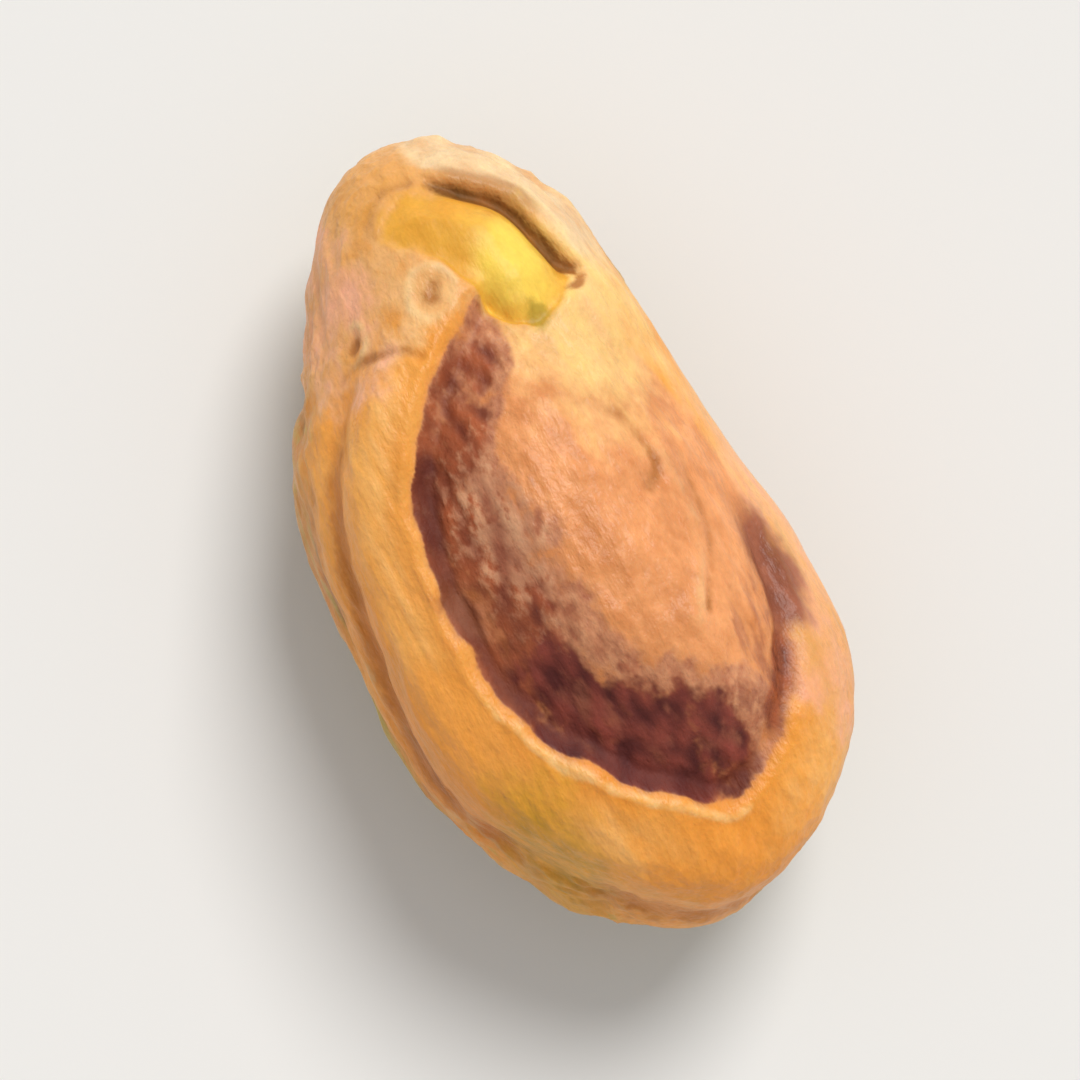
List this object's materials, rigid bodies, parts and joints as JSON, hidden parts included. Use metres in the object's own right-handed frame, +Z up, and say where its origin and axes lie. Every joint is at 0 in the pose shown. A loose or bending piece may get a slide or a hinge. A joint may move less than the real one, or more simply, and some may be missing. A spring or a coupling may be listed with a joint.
{
  "type": "pistachio kernel",
  "caption": "Shelled nut kernel with its skin on: an egg-shaped seed with a purple patch in a rolled rim, wrinkled flanks and a torn tip that shows yellow flesh.",
  "frame": {"origin": "centre of the kernel's bounding box, at the level of the flat spot it rests on", "axes": "+Z up out of the resting surface, +X along the kernel's length towards its torn tip, +Y to the left when looking down with the tip pointing away"},
  "size_m": [0.0175, 0.0094, 0.0086],
  "materials": {
    "skin": "thin dry seed skin, satin: orange tan with a purple-brown patch, cream and olive on the flanks, golden flesh at the tip"
  },
  "bodies": {
    "root": {"kernel": "skin"}
  },
  "joints": []
}
